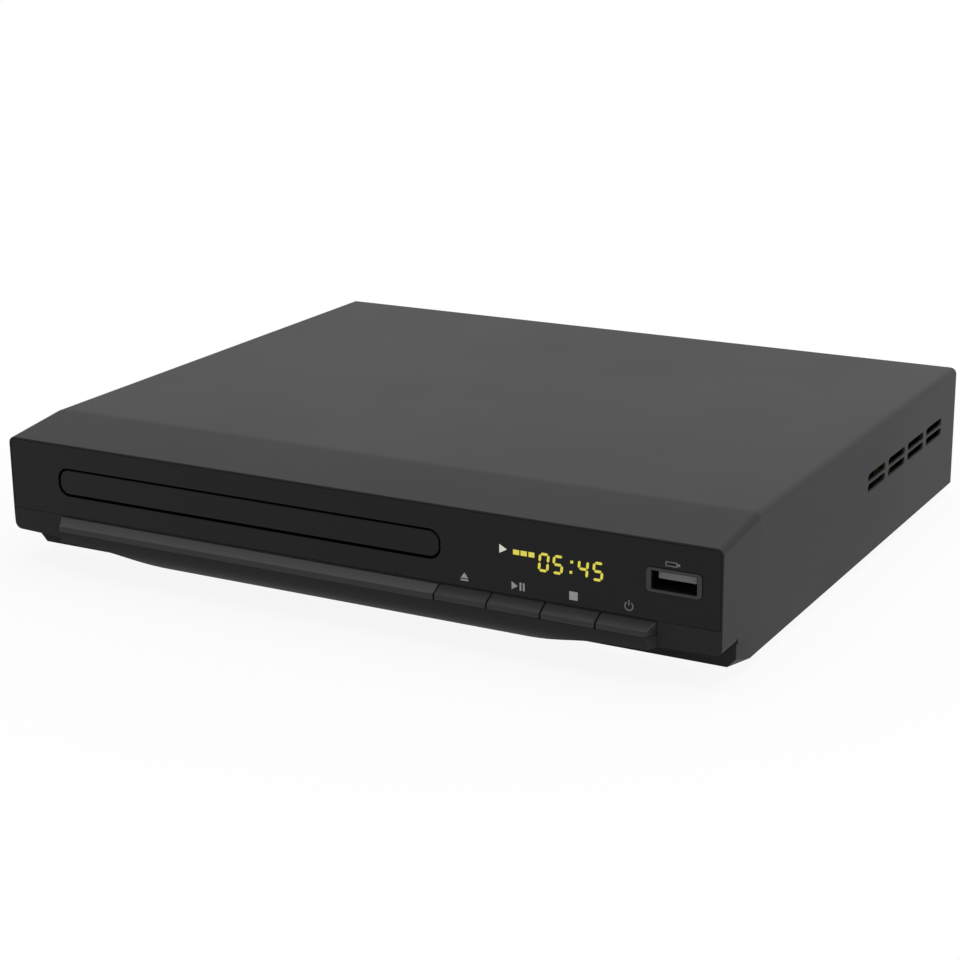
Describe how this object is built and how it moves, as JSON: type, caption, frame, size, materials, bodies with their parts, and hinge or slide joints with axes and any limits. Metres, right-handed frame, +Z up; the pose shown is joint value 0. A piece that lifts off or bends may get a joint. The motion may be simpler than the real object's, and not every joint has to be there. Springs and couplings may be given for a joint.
{
  "type": "disc player",
  "caption": "Slim black tabletop disc player with a sliding tray, small display, buttons on a front ledge, a USB port, side vents, rear sockets and a working loader inside",
  "frame": {"origin": "on the ground under the middle of the whole object's box", "axes": "+X to the right seen from the front, +Y to the back, +Z up; the front with the tray faces -Y"},
  "size_m": [0.225, 0.2006, 0.0408],
  "materials": {
    "cover_paint": "satin charcoal paint on steel",
    "front_plastic": "satin charcoal plastic",
    "panel_gloss": "glossy black",
    "trim_plastic": "satin dark grey",
    "button_plastic": "satin dark grey",
    "bezel_plastic": "dark glossy plastic",
    "dark_nickel": "black nickel plate",
    "grey_plastic": "moulded grey",
    "plated_steel": "bright nickel plate",
    "black_plastic": "moulded black",
    "light_plastic": "moulded off-white",
    "dark_gloss": "dark tinted",
    "green_board": "solder-masked board",
    "tan_board": "paper phenolic board",
    "can_sleeve": "shrink-wrapped capacitor can",
    "yellow_tape": "taped winding",
    "plain_aluminium": "plain",
    "clear_glass": "clear",
    "zinc_steel": "zinc-plated sheet",
    "black_paint": "satin black paint",
    "bright_steel": "bright",
    "brass_pin": "plain",
    "black_rubber": "matt",
    "yellow_plastic": "moulded yellow",
    "white_plastic": "moulded white",
    "red_plastic": "moulded red",
    "orange_plastic": "moulded orange",
    "cast_alloy": "die-cast",
    "lens_glass": "coated lens"
  },
  "bodies": {
    "case": {"top_cover": "cover_paint", "bottom_pan": "zinc_steel", "rear_panel": "black_paint", "front_fascia": "front_plastic", "front_panel": "panel_gloss", "trim_strip": "trim_plastic", "usb_bezel": "bezel_plastic", "usb_shell": "dark_nickel", "usb_tongue": "grey_plastic", "display_module": "dark_gloss", "ir_receiver": "dark_gloss", "front_pcb": "tan_board", "tact_switches": "black_plastic", "main_pcb": "green_board", "main_chips": "black_plastic", "main_capacitors": "can_sleeve", "power_pcb": "tan_board", "transformer": "yellow_tape", "power_capacitors": "can_sleeve", "heat_sink": "plain_aluminium", "fuse": "clear_glass", "hdmi_socket": "plated_steel", "jack_block": "black_plastic", "jack_shells": "plated_steel", "video_insert": "yellow_plastic", "audio_left_insert": "white_plastic", "audio_right_insert": "red_plastic", "coax_insert": "orange_plastic", "mains_inlet": "black_plastic", "inlet_pins": "brass_pin", "feet": "black_rubber", "cover_screws": "bright_steel", "chassis_screws": "bright_steel", "front_ribbon": "light_plastic", "loader_frame": "black_plastic", "drive_belt": "black_rubber", "loading_motor": "bright_steel", "dampers": "black_rubber", "clamper_bridge": "zinc_steel"},
    "tray": {"disc_tray": "black_plastic", "tray_door": "panel_gloss"},
    "drive_gear": {"drive_gear": "light_plastic"},
    "pulley_gear": {"pulley_gear": "light_plastic"},
    "motor_pulley": {"motor_pulley": "light_plastic"},
    "cam_slider": {"cam_slider": "light_plastic"},
    "traverse": {"traverse_frame": "black_plastic", "spindle_motor": "bright_steel", "guide_rods": "bright_steel", "sled_motor": "bright_steel"},
    "turntable": {"turntable": "black_plastic"},
    "sled": {"pickup_body": "cast_alloy", "pickup_lens": "lens_glass"},
    "sled_gear": {"sled_gear": "light_plastic"},
    "sled_motor_gear": {"sled_motor_gear": "light_plastic"},
    "clamper": {"clamper_puck": "light_plastic"},
    "eject_button": {"eject_button": "button_plastic"},
    "play_button": {"play_button": "button_plastic"},
    "stop_button": {"stop_button": "button_plastic"},
    "power_button": {"power_button": "button_plastic"}
  },
  "joints": [
    {"name": "tray_slide", "type": "slide", "parent": "case", "child": "tray", "axis": [0, -1, 0], "range_m": [0, 0.134]},
    {"name": "drive_gear_spin", "type": "hinge", "parent": "case", "child": "drive_gear", "pos_m": [-0.0743, -0.07085, 0.021], "axis": [0, 0, 1], "range_deg": [0, 641]},
    {"name": "pulley_gear_spin", "type": "hinge", "parent": "case", "child": "pulley_gear", "pos_m": [-0.0548, -0.07085, 0.019], "axis": [0, 0, 1], "range_deg": [-2136, 0]},
    {"name": "motor_pulley_spin", "type": "hinge", "parent": "case", "child": "motor_pulley", "pos_m": [-0.0218, -0.07085, 0.018], "axis": [0, 0, 1], "range_deg": [-7470, 0]},
    {"name": "traverse_lift", "type": "hinge", "parent": "case", "child": "traverse", "pos_m": [-0.03135, 0.05915, 0.019], "axis": [1, 0, 0], "range_deg": [0, 4.33]},
    {"name": "cam_slide", "type": "slide", "parent": "case", "child": "cam_slider", "axis": [1, 0, 0], "range_m": [0, 0.01501]},
    {"name": "turntable_spin", "type": "hinge", "parent": "traverse", "child": "turntable", "pos_m": [-0.03135, -0.02285, 0.027], "axis": [0, 0, 1], "continuous": true},
    {"name": "sled_slide", "type": "slide", "parent": "traverse", "child": "sled", "axis": [0, 1, 0], "range_m": [0, 0.0355]},
    {"name": "sled_gear_spin", "type": "hinge", "parent": "traverse", "child": "sled_gear", "pos_m": [0.00075, 0.02115, 0.018], "axis": [0, 0, 1], "range_deg": [-364, 0]},
    {"name": "sled_motor_spin", "type": "hinge", "parent": "traverse", "child": "sled_motor_gear", "pos_m": [0.0081, 0.03126, 0.018], "axis": [0, 0, 1], "range_deg": [0, 1456]},
    {"name": "clamper_lift", "type": "slide", "parent": "case", "child": "clamper", "axis": [0, 0, 1], "range_m": [0, 0.0013]},
    {"name": "eject_press", "type": "slide", "parent": "case", "child": "eject_button", "axis": [0, 1, 0], "range_m": [0, 0.0005], "stiffness_N_per_m": 400, "springref_m": -0.0005},
    {"name": "play_press", "type": "slide", "parent": "case", "child": "play_button", "axis": [0, 1, 0], "range_m": [0, 0.0005], "stiffness_N_per_m": 400, "springref_m": -0.0005},
    {"name": "stop_press", "type": "slide", "parent": "case", "child": "stop_button", "axis": [0, 1, 0], "range_m": [0, 0.0005], "stiffness_N_per_m": 400, "springref_m": -0.0005},
    {"name": "power_press", "type": "slide", "parent": "case", "child": "power_button", "axis": [0, 1, 0], "range_m": [0, 0.0005], "stiffness_N_per_m": 400, "springref_m": -0.0005}
  ],
  "couplings": [
    {"joint": "drive_gear_spin", "follows": "tray_slide", "rad_per_m": 83.333},
    {"joint": "pulley_gear_spin", "follows": "tray_slide", "rad_per_m": -277.78},
    {"joint": "motor_pulley_spin", "follows": "tray_slide", "rad_per_m": -972.22},
    {"joint": "cam_slide", "follows": "traverse_lift", "m_per_rad": 0.19848},
    {"joint": "sled_gear_spin", "follows": "sled_slide", "rad_per_m": -178.57},
    {"joint": "sled_motor_spin", "follows": "sled_slide", "rad_per_m": 714.29}
  ]
}
